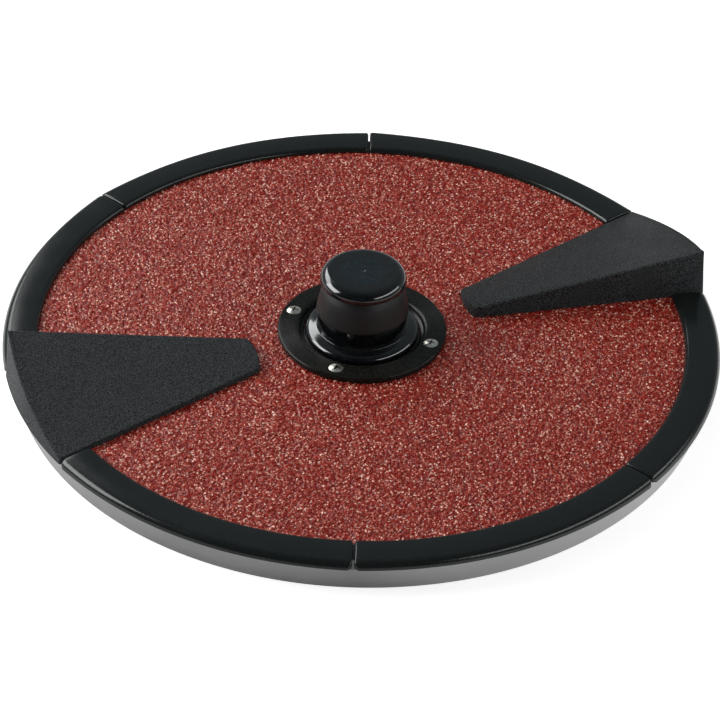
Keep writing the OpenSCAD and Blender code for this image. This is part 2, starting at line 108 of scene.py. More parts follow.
def revolve(profile, steps, closed=True):
    # a profile of (radius, height) turned round the axis: x = r cos t, y = r sin t, z = height
    turn = np.arange(steps) * 2 * np.pi / steps
    body = profile if closed else profile[1:-1]
    r, z = body[:, :1], body[:, 1:]
    points = np.stack([r * np.cos(turn), r * np.sin(turn), z + 0 * turn], -1).reshape(-1, 3)
    faces = [gridFaces(len(body), steps, wrapRows=closed, wrapCols=True)]
    if not closed:  # both ends lie on the axis and close to one point each
        j = np.arange(steps)
        after = (j + 1) % steps
        low, high, last = len(points), len(points) + 1, (len(body) - 1) * steps
        points = np.concatenate([points, [[0, 0, profile[0, 1]], [0, 0, profile[-1, 1]]]])
        faces.append(np.stack([np.full(steps, low), after, j], -1))
        faces.append(np.stack([np.full(steps, high), last + j, last + after], -1))
    return points, faces


# shared effects

# finer: how much finer the second noise is; fineShare: its strength; pitsFrom, pitsTo: where the mask rises
grainNoise = {"detail": 3.0, "roughness": 0.6, "finer": 2.7, "fineDetail": 1.0, "fineShare": 0.35,
              "pitsFrom": 0.58, "pitsTo": 0.78}
patchNoise = {"detail": 4.0, "roughness": 0.55, "from": 0.35, "to": 0.65}


def newGroup(name, inputs, outputs):
    group = bpy.data.node_groups.new(name, "ShaderNodeTree")
    for label, kind, value in inputs:
        socket = group.interface.new_socket(label, in_out="INPUT", socket_type=kind)
        if value is not None:
            socket.default_value = value
    for label, kind in outputs:
        group.interface.new_socket(label, in_out="OUTPUT", socket_type=kind)
    return group, group.nodes.new("NodeGroupInput"), group.nodes.new("NodeGroupOutput")


def addNode(tree, kind, values=None, **settings):
    node = tree.nodes.new(kind)
    for key, value in settings.items():
        setattr(node, key, value)
    for key, value in (values or {}).items():
        if isinstance(value, bpy.types.NodeSocket):
            tree.links.new(value, node.inputs[key])
        else:
            node.inputs[key].default_value = value
    return node


def buildMouldGrain():
    # fine pitted skin of a moulded or cast surface: two noises, the finer one a third as strong
    group, inside, outside = newGroup(
        "mouldGrain",
        [("Vector", "NodeSocketVector", None), ("Scale", "NodeSocketFloat", 900.0)],
        [("Height", "NodeSocketFloat"), ("Mask", "NodeSocketFloat")])
    coarse = addNode(group, "ShaderNodeTexNoise", {
        "Vector": inside.outputs["Vector"], "Scale": inside.outputs["Scale"],
        "Detail": grainNoise["detail"], "Roughness": grainNoise["roughness"]})
    finer = addNode(group, "ShaderNodeMath", {0: inside.outputs["Scale"], 1: grainNoise["finer"]},
                    operation="MULTIPLY")
    fine = addNode(group, "ShaderNodeTexNoise", {
        "Vector": inside.outputs["Vector"], "Scale": finer.outputs[0], "Detail": grainNoise["fineDetail"]})
    third = addNode(group, "ShaderNodeMath", {
        0: fine.outputs["Fac"], 1: grainNoise["fineShare"], 2: coarse.outputs["Fac"]},
        operation="MULTIPLY_ADD")
    pits = addNode(group, "ShaderNodeMapRange", {
        "Value": third.outputs[0], "From Min": grainNoise["pitsFrom"], "From Max": grainNoise["pitsTo"]})
    group.links.new(third.outputs[0], outside.inputs["Height"])
    group.links.new(pits.outputs["Result"], outside.inputs["Mask"])
    return group


def buildBroadPatches():
    # slow change over a surface, for handling marks and uneven gloss
    group, inside, outside = newGroup(
        "broadPatches",
        [("Vector", "NodeSocketVector", None), ("Scale", "NodeSocketFloat", 14.0),
         ("Low", "NodeSocketFloat", 0.0), ("High", "NodeSocketFloat", 1.0)],
        [("Value", "NodeSocketFloat")])
    noise = addNode(group, "ShaderNodeTexNoise", {
        "Vector": inside.outputs["Vector"], "Scale": inside.outputs["Scale"],
        "Detail": patchNoise["detail"], "Roughness": patchNoise["roughness"]})
    ranged = addNode(group, "ShaderNodeMapRange", {
        "Value": noise.outputs["Fac"], "From Min": patchNoise["from"], "From Max": patchNoise["to"],
        "To Min": inside.outputs["Low"], "To Max": inside.outputs["High"]})
    group.links.new(ranged.outputs["Result"], outside.inputs["Value"])
    return group


def buildTurnedLines():
    # fine grooves that run round the axis: a wave over the radius and the height
    group, inside, outside = newGroup(
        "turnedLines",
        [("Vector", "NodeSocketVector", None), ("Pitch", "NodeSocketFloat", 900.0)],
        [("Height", "NodeSocketFloat")])
    split = addNode(group, "ShaderNodeSeparateXYZ", {"Vector": inside.outputs["Vector"]})
    flat = addNode(group, "ShaderNodeCombineXYZ", {
        "X": split.outputs["X"], "Y": split.outputs["Y"], "Z": 0.0})
    radius = addNode(group, "ShaderNodeVectorMath", {0: flat.outputs[0]}, operation="LENGTH")
    both = addNode(group, "ShaderNodeMath", {0: radius.outputs["Value"], 1: split.outputs["Z"]},
                   operation="ADD")
    scaled = addNode(group, "ShaderNodeMath", {0: both.outputs[0], 1: inside.outputs["Pitch"]},
                     operation="MULTIPLY")
    line = addNode(group, "ShaderNodeTexNoise", {"W": scaled.outputs[0], "Scale": 1.0, "Detail": 3.0},
                   noise_dimensions="1D")
    group.links.new(line.outputs["Fac"], outside.inputs["Height"])
    return group


mouldGrain = buildMouldGrain()
broadPatches = buildBroadPatches()
turnedLines = buildTurnedLines()
print("shared effects ready")


# materials

def startMaterial(name, look):
    # one Principled surface, whose plain numbers are set on its own sockets
    material = bpy.data.materials.new(name)
    material.use_nodes = True
    tree = material.node_tree
    shader = tree.nodes["Principled BSDF"]
    for socket, value in look.items():
        shader.inputs[socket].default_value = value
    place = tree.nodes.new("ShaderNodeTexCoord").outputs["Object"]
    return material, tree, shader, place


def placeGroup(tree, group, place, **values):
    node = tree.nodes.new("ShaderNodeGroup")
    node.node_tree = group
    tree.links.new(place, node.inputs["Vector"])
    for key, value in values.items():
        node.inputs[key].default_value = value
    return node


def bumpFrom(tree, shader, height, strength, distance):
    bump = addNode(tree, "ShaderNodeBump", {"Height": height, "Strength": strength, "Distance": distance})
    tree.links.new(bump.outputs["Normal"], shader.inputs["Normal"])


def mixColours(tree, factor, first, second):
    # the colours are plain numbers or come from another node
    mix = tree.nodes.new("ShaderNodeMix")
    mix.data_type = "RGBA"
    tree.links.new(factor, mix.inputs["Factor"])
    for label, colour in (("A", first), ("B", second)):
        if isinstance(colour, bpy.types.NodeSocket):
            tree.links.new(colour, mix.inputs[label])
        else:
            mix.inputs[label].default_value = colour
    return mix.outputs["Result"]


def plasticMaterial(name, look):
    # moulded plastic: two close shades over patches and grain, uneven roughness and a fine skin
    material, tree, shader, place = startMaterial(name, {
        "Specular IOR Level": look["specular"], "Coat Weight": look.get("coat", 0.0),
        "Coat Roughness": look.get("coatRoughness", 0.05), "Metallic": look.get("metallic", 0.0)})
    if "turned" in look:  # the shine spreads along the radius, across the turning marks
        shader.inputs["Anisotropic"].default_value = look["turned"]
        outwards = addNode(tree, "ShaderNodeVectorMath", {0: place, 1: (1, 1, 0)}, operation="MULTIPLY")
        unit = addNode(tree, "ShaderNodeVectorMath", {0: outwards.outputs[0]}, operation="NORMALIZE")
        tree.links.new(unit.outputs[0], shader.inputs["Tangent"])
    grain = placeGroup(tree, mouldGrain, place, Scale=look["grainScale"])
    patches = placeGroup(tree, broadPatches, place, Scale=look["patchScale"], Low=look["smooth"],
                         High=look["rough"])
    shade = mixColours(tree, grain.outputs["Mask"], look["dark"], look["light"])
    tree.links.new(shade, shader.inputs["Base Color"])
    tree.links.new(patches.outputs["Value"], shader.inputs["Roughness"])
    bumpFrom(tree, shader, grain.outputs["Height"], look["grainStrength"], look["grainDepth"])
    return material


def metalMaterial(name, look):
    # machined metal: turned or brushed lines in the normal, slow change in colour and roughness
    material, tree, shader, place = startMaterial(name, {"Metallic": look.get("metallic", 1.0)})
    lines = placeGroup(tree, turnedLines, place, Pitch=look["pitch"])
    patches = placeGroup(tree, broadPatches, place, Scale=look["patchScale"], Low=0.0, High=1.0)
    shade = mixColours(tree, patches.outputs["Value"], look["dark"], look["light"])
    tree.links.new(shade, shader.inputs["Base Color"])
    rough = addNode(tree, "ShaderNodeMapRange", {
        "Value": patches.outputs["Value"], "To Min": look["smooth"], "To Max": look["rough"]})
    tree.links.new(rough.outputs["Result"], shader.inputs["Roughness"])
    bumpFrom(tree, shader, lines.outputs["Height"], look["lineStrength"], look["lineDepth"])
    return material


def gritMaterial(look):
    # bonded grit: a darker red low down in the hollows and red grains of random tone; the palest grains are
    # painted glints, and some grains are glossy
    material, tree, shader, place = startMaterial("boundGrit", {})
    cells = addNode(tree, "ShaderNodeTexVoronoi", {"Vector": place, "Scale": look["grainScale"]})
    chance = addNode(tree, "ShaderNodeSeparateColor", {"Color": cells.outputs["Color"]})
    ramp = addNode(tree, "ShaderNodeValToRGB", {"Fac": chance.outputs["Red"]})
    stops = ramp.color_ramp.elements
    stops[0].color, stops[1].color = look["first"], look["last"]
    for spot, colour in look["between"]:
        stops.new(spot).color = colour
    height = addNode(tree, "ShaderNodeSeparateXYZ", {"Vector": place}).outputs["Z"]
    depth = addNode(tree, "ShaderNodeMapRange", {
        "Value": height, "From Min": look["lowZ"] * mm, "From Max": look["highZ"] * mm})
    shade = mixColours(tree, depth.outputs["Result"], look["hollowRed"], ramp.outputs["Color"])
    tree.links.new(shade, shader.inputs["Base Color"])
    rough = addNode(tree, "ShaderNodeMapRange", {
        "Value": chance.outputs["Green"], "To Min": look["smooth"], "To Max": look["rough"]})
    tree.links.new(rough.outputs["Result"], shader.inputs["Roughness"])
    gloss = addNode(tree, "ShaderNodeMapRange", {
        "Value": chance.outputs["Blue"], "From Min": look["glossFrom"], "From Max": look["glossTo"],
        "To Min": look["matt"], "To Max": look["glossy"]})
    tree.links.new(gloss.outputs["Result"], shader.inputs["Specular IOR Level"])
    domes = addNode(tree, "ShaderNodeMath", {0: 1.0, 1: cells.outputs["Distance"]}, operation="SUBTRACT")
    bumpFrom(tree, shader, domes.outputs[0], look["bump"], look["bumpDepth"])
    return material


rimPlastic = plasticMaterial("satinRim", {
    "dark": (0.006, 0.0074, 0.0074, 1), "light": (0.011, 0.0132, 0.013, 1), "specular": 0.38,
    "smooth": 0.13, "rough": 0.24, "grainScale": 1500.0, "patchScale": 22.0, "grainStrength": 0.12,
    "grainDepth": 0.0002})
vanePlastic = plasticMaterial("grainedVane", {
    "dark": (0.001, 0.0013, 0.0015, 1), "light": (0.07, 0.078, 0.082, 1), "specular": 0.12, "smooth": 0.4,
    "rough": 0.54, "grainScale": 1600.0, "patchScale": 18.0, "grainStrength": 1.0, "grainDepth": 0.0012})
glossBlack = plasticMaterial("polishedKnob", {
    "dark": (0.0016, 0.002, 0.0024, 1), "light": (0.004, 0.005, 0.006, 1), "specular": 0.5, "coat": 0.6,
    "coatRoughness": 0.07, "smooth": 0.09, "rough": 0.17, "grainScale": 260.0, "patchScale": 60.0,
    "grainStrength": 0.02, "grainDepth": 0.0002})
# the blue tint in the cap's black is a painted reflection, a bluish sheen
capBlackBlueSheen = plasticMaterial("turnedCapBlueSheen", {
    "dark": (0.002, 0.0042, 0.0062, 1), "light": (0.005, 0.011, 0.016, 1), "specular": 0.5, "coat": 0.4,
    "coatRoughness": 0.08, "smooth": 0.12, "rough": 0.26, "grainScale": 300.0, "patchScale": 90.0,
    "grainStrength": 0.03, "grainDepth": 0.0002})
satinBlack = plasticMaterial("satinGrip", {
    "dark": (0.007, 0.0078, 0.0082, 1), "light": (0.0105, 0.0115, 0.012, 1), "specular": 0.42,
    "smooth": 0.44, "rough": 0.52, "grainScale": 2200.0, "patchScale": 40.0, "grainStrength": 0.15,
    "grainDepth": 0.0001})
ringBlack = plasticMaterial("clampRingBlack", {
    "dark": (0.0055, 0.0058, 0.0047, 1), "light": (0.0115, 0.012, 0.01, 1), "specular": 0.19, "smooth": 0.2,
    "rough": 0.3, "grainScale": 700.0, "patchScale": 50.0, "grainStrength": 0.06, "grainDepth": 0.0002,
    "turned": 0.92})
sealRubber = plasticMaterial("gasketRubber", {
    "dark": (0.006, 0.006, 0.006, 1), "light": (0.012, 0.012, 0.012, 1), "specular": 0.2, "smooth": 0.7,
    "rough": 0.85, "grainScale": 1800.0, "patchScale": 60.0, "grainStrength": 0.2, "grainDepth": 0.0001})
nylonWhite = plasticMaterial("nylonWasher", {
    "dark": (0.6, 0.58, 0.52, 1), "light": (0.75, 0.73, 0.68, 1), "specular": 0.4, "smooth": 0.35,
    "rough": 0.5, "grainScale": 900.0, "patchScale": 60.0, "grainStrength": 0.05, "grainDepth": 0.0001})
skirtMetal = metalMaterial("turnedSkirt", {
    "metallic": 0.9, "dark": (0.38, 0.38, 0.385, 1), "light": (0.44, 0.44, 0.445, 1), "smooth": 0.3,
    "rough": 0.4, "pitch": 5200.0, "patchScale": 9.0, "lineStrength": 0.1, "lineDepth": 0.0001})
castMetal = plasticMaterial("castAlloy", {
    "dark": (0.16, 0.16, 0.165, 1), "light": (0.25, 0.25, 0.255, 1), "specular": 0.5, "smooth": 0.45,
    "rough": 0.65, "grainScale": 600.0, "patchScale": 16.0, "grainStrength": 0.5, "grainDepth": 0.0005,
    "metallic": 0.8})
turnedSteel = metalMaterial("turnedHub", {
    "dark": (0.38, 0.38, 0.39, 1), "light": (0.5, 0.5, 0.51, 1), "smooth": 0.24, "rough": 0.36,
    "pitch": 3600.0, "patchScale": 40.0, "lineStrength": 0.25, "lineDepth": 0.0002})
fastenerSteel = metalMaterial("stainlessFastener", {
    "dark": (0.42, 0.41, 0.4, 1), "light": (0.58, 0.57, 0.56, 1), "smooth": 0.2, "rough": 0.34,
    "pitch": 2400.0, "patchScale": 120.0, "lineStrength": 0.1, "lineDepth": 0.0001})
brightNickel = metalMaterial("nickelScrew", {
    "dark": (0.72, 0.68, 0.6, 1), "light": (0.95, 0.91, 0.82, 1), "smooth": 0.2, "rough": 0.38,
    "pitch": 1400.0, "patchScale": 300.0, "lineStrength": 0.05, "lineDepth": 0.0001})
insertBrass = metalMaterial("insertBrass", {
    "dark": (0.5, 0.34, 0.12, 1), "light": (0.68, 0.48, 0.2, 1), "smooth": 0.22, "rough": 0.34,
    "pitch": 2400.0, "patchScale": 120.0, "lineStrength": 0.1, "lineDepth": 0.0001})
bushBronze = metalMaterial("sinteredBronze", {
    "dark": (0.36, 0.22, 0.09, 1), "light": (0.5, 0.32, 0.15, 1), "smooth": 0.4, "rough": 0.55,
    "pitch": 1500.0, "patchScale": 150.0, "lineStrength": 0.1, "lineDepth": 0.0001})
boundGrit = gritMaterial({
    "grainScale": 1350.0, "matt": 0.22, "glossy": 1.0, "glossFrom": 0.78, "glossTo": 0.88,
    "smooth": 0.1, "rough": 0.42, "bump": 0.72, "bumpDepth": 0.0003,
    # a darker red in the hollows, laid on by height from lowZ up to highZ
    "hollowRed": (0.13, 0.004, 0.0025, 1), "lowZ": 17.95, "highZ": 18.45,
    # the pale stops at 0.92 and at the end are painted glints on the grains
    "first": (0.19, 0.011, 0.0055, 1), "last": (1.0, 0.74, 0.61, 1),
    "between": ((0.5, (0.275, 0.021, 0.0125, 1)), (0.8, (0.39, 0.055, 0.036, 1)),
                (0.92, (0.68, 0.31, 0.22, 1)))})
print("materials ready")


# skirt

skirt = {"radius": 188.8, "wall": 3.2, "top": 12.0, "footRound": 0.5, "longest": 4.0, "stepsRound": 384}


def buildSkirt():
    # closed ring section with rounded foot edges, turned round the axis
    r, w, f = skirt["radius"], skirt["wall"], skirt["footRound"]
    profile = np.concatenate([
        arc(r - w + f, f, f, 180, 270, 5), arc(r - f, f, f, 270, 360, 5),
        [[r, skirt["top"]], [r - w, skirt["top"]]]])
    points, faces = revolve(subdivide(profile, skirt["longest"], closed=True), skirt["stepsRound"])
    piece = makePiece("skirtRing", points, faces, [skirtMetal], "plate")
    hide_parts("skirt_band")
    return piece


buildSkirt()
print("skirt ready")

# rim segments

rim = {"outer": 195.0, "inner": 175.8, "low": 18.5, "top": 21.9, "lipInner": 189.1, "lipLow": 17.4,
       "shoulder": 4.5, "innerRound": 2.8, "crown": 0.25, "gapStart": 1.3, "gapSpan": 25.0, "joint": 0.8,
       "endRound": 1.3, "cornerRound": 2.4, "cornerReach": 2.5, "stepsRound": 84, "spreadReach": 15.0,
       "spread": ((1.7, 1.9), (1.2, 1.6), (1.6, 0.1), (0.6, 0.5), (0.5, 0.3), (0.0, 0.1)),
       "reach": 194.99, "longest": 3.0}
# spread: how far each segment's two ends stand out, over spreadReach degrees
# cornerReach: over how many degrees the corners are rounded
# reach: half the width of the solid's box


def crownLine(fromR, toR):
    # the flat of the top sags towards its edges: height = top - crown (2q - 1)^2, q from 0 to 1 across it
    q = np.linspace(0, 1, 9)[1:-1]
    return np.stack([fromR + (toR - fromR) * q, rim["top"] - rim["crown"] * (2 * q - 1) ** 2], -1)


def rimProfile():
    # section of the rim, anticlockwise: flat foot, lip, rounded shoulder, flat top and rounded inner edge
    o, s, i = rim["outer"], rim["shoulder"], rim["innerRound"]
    return np.concatenate([
        subdivide(np.array([[rim["inner"], rim["low"]], [rim["lipInner"], rim["low"]],
                            [rim["lipInner"], rim["lipLow"]], [o, rim["lipLow"]]]), rim["longest"])[:-1],
        arc(o - s, rim["top"] - rim["crown"] - s, s, 0, 90, 12),
        crownLine(o - s, rim["inner"] + i),
        arc(rim["inner"] + i, rim["top"] - rim["crown"] - i, i, 90, 180, 9)])


def insetProfile(profile, depth):
    # every point moves inwards along the mean normal of its two edges, by at most twice the depth
    edge = np.roll(profile, -1, axis=0) - profile
    normal = np.stack([-edge[:, 1], edge[:, 0]], -1) / np.linalg.norm(edge, axis=1)[:, None]
    mean = normal + np.roll(normal, 1, axis=0)
    mean /= np.linalg.norm(mean, axis=1)[:, None]
    reach = 1 / np.maximum(0.5, (mean * normal).sum(1))
    return profile + mean * (reach * depth)[:, None]


def buildSegment(index):
    # the section is carried along an arc and drawn in at both ends along a quarter circle, a from 0 to 90:
    # it is smaller by round (1 - sin a), and lies round (1 - cos a) from the end
    span = (180 - rim["gapSpan"]) / 3
    first = rim["gapStart"] + rim["gapSpan"] + span * (index % 3) + 180 * (index // 3)
    half = math.degrees(rim["joint"] / 2 / rim["inner"])
    endRound = rim["endRound"]
    phase = np.radians(np.linspace(0, 90, 7))
    inset = endRound * (1 - np.sin(phase))
    along = np.degrees(endRound * (1 - np.cos(phase)) / rim["outer"])
    begin, end = first + half + along, first + span - half - along[::-1]
    angles = np.concatenate([begin, np.linspace(begin[-1], end[0], rim["stepsRound"])[1:-1], end])
    insets = np.concatenate([inset, np.zeros(rim["stepsRound"] - 2), inset[::-1]])
    base = rimProfile()
    sections = np.stack([insetProfile(base, d) for d in insets])
    fromStart, fromEnd = angles - angles[0], angles[-1] - angles
    # the ends stand out by spread (1 - distance / spreadReach)^2, in full at the outer edge only
    ease = lambda distance: np.maximum(0, 1 - distance / rim["spreadReach"]) ** 2
    out = rim["spread"][index][0] * ease(fromStart) + rim["spread"][index][1] * ease(fromEnd)
    r = sections[..., 0] + out[:, None] * (sections[..., 0] - rim["inner"]) / (rim["outer"] - rim["inner"])
    # the outer corners are rounded in plan: near the ends a point draws back by c (1 - sqrt(1 - over^2))
    c = rim["cornerRound"]
    over = np.clip((sections[..., 0] - rim["outer"] + c) / c, 0, 0.995)
    back = np.degrees(c * (1 - np.sqrt(1 - over ** 2)) / rim["outer"])
    fade = lambda distance: np.clip(1 - distance / rim["cornerReach"], 0, 1)[:, None] ** 2
    t = np.radians(angles[:, None] + back * (fade(fromStart) - fade(fromEnd)))
    # and no point passes the solid's box: r is at most reach / max(|cos t|, |sin t|)
    r = np.minimum(r, rim["reach"] / np.maximum(abs(np.cos(t)), abs(np.sin(t))))
    points = np.stack([r * np.cos(t), r * np.sin(t), sections[..., 1]], -1).reshape(-1, 3)
    rows, cols = len(angles), len(base)
    faces = [gridFaces(rows, cols, wrapCols=True)[:, ::-1],
             np.arange(cols)[None, :], (np.arange(cols) + (rows - 1) * cols)[None, ::-1]]
    name = "rimSegment" + str(index + 1)
    piece = makePiece(name, points, faces, [rimPlastic], "plate")
    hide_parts("rim_segment_" + str(index + 1))
    return piece


for index in range(6):
    buildSegment(index)
print("rim ready")

# abrasive disc

grit = {"low": 15.5, "level": 18.25, "deepest": 0.35, "grain": 1.12, "relief": 0.75, "fall": 1.1,
        "jitter": 0.6, "seed": 7, "table": 512,
        # inner and outer radius, points round and steps across
        "bands": ((31.7, 64.0, 560, 54), (64.0, 100.0, 940, 60), (100.0, 130.0, 1240, 50),
                  (130.0, 155.0, 1500, 42), (155.0, 176.6, 1760, 36))}


def grainHeight(x, y):
    # one grain for each square of a lattice, shifted and sized at random; the surface is the highest of the
    # nearby grains, each a cap: height = relief tall^1.5 - fall distance^2
    size, side = grit["grain"], grit["table"]
    tables = np.random.default_rng(grit["seed"]).random((3, side, side))
    i, j = np.floor(x / size).astype(int), np.floor(y / size).astype(int)
    height = np.full(x.shape, -9.0)
    for di, dj in ((a, b) for a in (-1, 0, 1) for b in (-1, 0, 1)):
        acrossShift, alongShift, tall = tables[:, (i + di) % side, (j + dj) % side]
        away = (x - (i + di + acrossShift) * size) ** 2 + (y - (j + dj + alongShift) * size) ** 2
        height = np.maximum(height, grit["relief"] * tall ** 1.5 - grit["fall"] * away)
    return height


def buildGritBand(number, inner, outer, cols, rows):
    # a polar grid, its points shifted at random along the surface and raised to the grains
    generator = np.random.default_rng(grit["seed"] + number)
    r = np.linspace(inner, outer, rows + 1)[:, None] + np.zeros((1, cols))
    t = np.arange(cols)[None, :] * 2 * np.pi / cols + np.zeros((rows + 1, 1))
    shift = (generator.random((2, rows + 1, cols)) - 0.5) * grit["jitter"]
    shift[0, [0, -1]] = 0
    r, t = r + shift[0] * (outer - inner) / rows, t + shift[1] * 2 * np.pi / cols
    x, y = r * np.cos(t), r * np.sin(t)
    top = np.stack([x, y, grit["level"] + np.maximum(grainHeight(x, y), -grit["deepest"])], -1)
    low = top[[-1, 0]].copy()
    low[..., 2] = grit["low"]
    points = np.concatenate([low[1:], top, low[:1]]).reshape(-1, 3)  # inner foot, surface, outer foot
    faces = [gridFaces(rows + 3, cols, wrapRows=True, wrapCols=True)[:, ::-1]]
    piece = makePiece("gritBand" + str(number), points, faces, [boundGrit], "plate", sharp=180)
    return piece


gritBands = [buildGritBand(k + 1, *band) for k, band in enumerate(grit["bands"])]
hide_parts("abrasive_disc")
print("grit ready")

# vanes

vane = {"radius": 194.9, "heightRadius": 193.7, "farRadius": 200.9, "draft": 0.083, "inLead": 63.6,
        "inTrail": 66.0, "heightIn": 6.3, "heightOut": 29.0, "heightTrail": 2.8, "leadAngle": 1.0,
        "leadOff": 2.2, "trailAngle": 27.5, "trailOff": 4.4, "base": 18.5, "lipLow": 17.4,
        "lipInner": 189.1, "edge": 1.1, "cornerIn": 1.7, "cornerOut": 1.6, "noseBulge": 1.8, "crown": 1.2,
        "sheetSteps": 14}


def lineAt(angle, off, u):
    # points u along a straight line that runs outwards at the angle and passes the axis at the given distance
    a = math.radians(angle)
    return u[:, None] * np.array([[math.cos(a), math.sin(a)]]) + off * np.array([[-math.sin(a), math.cos(a)]])


def vaneTop(x, y):
    # height of the ruled top: each point (x, y) is written as a share s outwards and t across, found by
    # Newton steps, and the height runs straight from the leading edge to the trailing edge
    far = vane["farRadius"]
    p0, p1 = lineAt(vane["leadAngle"], vane["leadOff"], np.array([vane["inLead"], far]))
    q0, q1 = lineAt(vane["trailAngle"], -vane["trailOff"], np.array([vane["inTrail"], far]))
    target = np.stack([x, y], -1)
    s, t = np.full(x.shape, 0.5), np.full(x.shape, 0.5)
    for step in range(8):
        lead, trail = p0 + s[..., None] * (p1 - p0), q0 + s[..., None] * (q1 - q0)
        miss = lead + t[..., None] * (trail - lead) - target
        bySide = (1 - t[..., None]) * (p1 - p0) + t[..., None] * (q1 - q0)
        across = trail - lead
        det = bySide[..., 0] * across[..., 1] - bySide[..., 1] * across[..., 0]
        s = s - (miss[..., 0] * across[..., 1] - miss[..., 1] * across[..., 0]) / det
        t = t - (bySide[..., 0] * miss[..., 1] - bySide[..., 1] * miss[..., 0]) / det
    u = vane["inLead"] + (far - vane["inLead"]) * s
    rise = (vane["heightOut"] - vane["heightIn"]) / (vane["heightRadius"] - vane["inLead"])
    leadHeight = vane["heightIn"] + rise * (u - vane["inLead"])
    crown = vane["crown"] * 4 * t * (1 - t) * np.clip(1 - s, 0, 1) ** 2  # the inner end is a little rounder
    return vane["base"] + leadHeight * (1 - t) + vane["heightTrail"] * t + crown


def drawIn(points, z):
    # the outer wall leans inwards: no point lies beyond radius - draft (height - lipLow)
    limit = vane["radius"] - vane["draft"] * (z - vane["lipLow"])
    return points * np.minimum(1, limit / np.linalg.norm(points, axis=-1))[..., None]


def roundedCorner(before, corner, after, radius, steps):
    # curve between two edges that touches both at the given distance: corner + a (1 - t)^2 + b t^2
    a, b = before - corner, after - corner
    a, b = a / np.linalg.norm(a) * radius, b / np.linalg.norm(b) * radius
    t = np.linspace(0, 1, steps + 1)[:, None]
    return corner + a * (1 - t) ** 2 + b * t ** 2


def vaneOutline():
    # plan of the vane as two matching sides, leading and trailing, both from the inner end outwards
    r = vane["radius"]

    def reach(off):  # where the straight edge meets the outer circle
        return np.array([math.sqrt(r * r - off * off)])

    leadIn = lineAt(vane["leadAngle"], vane["leadOff"], np.array([vane["inLead"]]))[0]
    trailIn = lineAt(vane["trailAngle"], -vane["trailOff"], np.array([vane["inTrail"]]))[0]
    leadOut = lineAt(vane["leadAngle"], vane["leadOff"], reach(vane["leadOff"]))[0]
    trailOut = lineAt(vane["trailAngle"], -vane["trailOff"], reach(vane["trailOff"]))[0]
    a0, a1 = math.atan2(leadOut[1], leadOut[0]), math.atan2(trailOut[1], trailOut[0])
    middle, inner = (a0 + a1) / 2, (leadIn + trailIn) / 2
    toAxis = -inner / np.linalg.norm(inner)
    nose = lambda corner, q: corner + (inner - corner) * q + toAxis * vane["noseBulge"] * (1 - (1 - q) ** 2)

    def side(cornerIn, cornerOut, angleOut):
        onArc = lambda a: np.stack([r * np.cos(a), r * np.sin(a)], -1)
        turn = vane["cornerOut"] / r * (1 if middle > angleOut else -1)
        arcPoints = onArc(np.linspace(angleOut + turn, middle, 24))
        first = roundedCorner(nose(cornerIn, 0.2), cornerIn, cornerOut, vane["cornerIn"], 8)
        last = roundedCorner(cornerIn, cornerOut, arcPoints[0], vane["cornerOut"], 8)
        near = np.linalg.norm(first[0] - cornerIn) / np.linalg.norm(inner - cornerIn)
        endRun = nose(cornerIn, np.linspace(1, near, 9)[:-1, None])
        longRun = first[-1] + (last[0] - first[-1]) * np.linspace(0, 1, 50)[1:-1, None]
        return np.concatenate([endRun, first, longRun, last, arcPoints[1:]])

    return side(leadIn, leadOut, a0), side(trailIn, trailOut, a1)


def buildVane(index):
    # rings round the plan: foot, wall, a quarter circle over the edge, then a sheet along the ruled top
    lead, trail = vaneOutline()
    loop = np.concatenate([lead, trail[-2:0:-1]])  # inner middle, leading side, outer middle, trailing side
    edge = np.roll(loop, -1, axis=0) - np.roll(loop, 1, axis=0)
    inward = np.stack([-edge[:, 1], edge[:, 0]], -1) / np.linalg.norm(edge, axis=1)[:, None]
    radius = np.linalg.norm(loop, axis=1)
    foot = np.where(radius > vane["lipInner"], vane["lipLow"], vane["base"])
    e = vane["edge"]
    wallTop = vaneTop(*(loop + inward * e).T) - e
    upper = drawIn(loop, wallTop)
    rings, heights = [loop, upper], [foot, wallTop]
    for a in np.radians(np.linspace(15, 90, 6)):
        rings.append(upper + inward * e * (1 - math.cos(a)))
        heights.append(wallTop + e * math.sin(a))
    count, half = len(loop), len(lead)
    points = [np.column_stack([ring, height]) for ring, height in zip(rings, heights)]
    faces = [gridFaces(len(rings), count, wrapCols=True)]
    last = points[-1]
    leadRow, trailRow = last[:half], np.concatenate([last[:1], last[:half - 2:-1]])
    steps = vane["sheetSteps"]
    share = np.linspace(0, 1, steps + 1)[1:-1]
    near, far = leadRow[1:-1, None, :2], trailRow[1:-1, None, :2]
    across = near + (far - near) * share[None, :, None]
    top = vaneTop(across[..., 0], across[..., 1])
    # the sheet joins the two inner rows of the last ring
    sheet = np.concatenate([across, top[..., None]], -1)
    start, ringStart = len(rings) * count, (len(rings) - 1) * count
    inner = start + np.arange(sheet.shape[0] * sheet.shape[1]).reshape(sheet.shape[:2])
    leadIndex, trailIndex = ringStart + np.arange(1, half - 1), ringStart + count - np.arange(1, half - 1)
    table = np.column_stack([leadIndex, inner, trailIndex])
    quads = np.stack([table[:-1, :-1], table[1:, :-1], table[1:, 1:], table[:-1, 1:]], -1).reshape(-1, 4)
    faces.append(quads)
    tip, end = ringStart, ringStart + half - 1
    faces.append(np.stack([np.full(steps, tip), table[0, :-1], table[0, 1:]], -1))
    faces.append(np.stack([np.full(steps, end), table[-1, 1:], table[-1, :-1]], -1))
    faces.append(np.arange(count)[None, ::-1])  # the foot
    points = np.concatenate(points + [sheet.reshape(-1, 3)])
    if index == 1:  # half a turn round the axis
        points = points * np.array([-1, -1, 1])
    name = "liftingVane" + str(index + 1)
    piece = makePiece(name, points, faces, [vanePlastic], "plate")
    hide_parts("vane_" + str(index + 1))
    return piece


for index in range(2):
    buildVane(index)
print("vanes ready")

# clamp ring

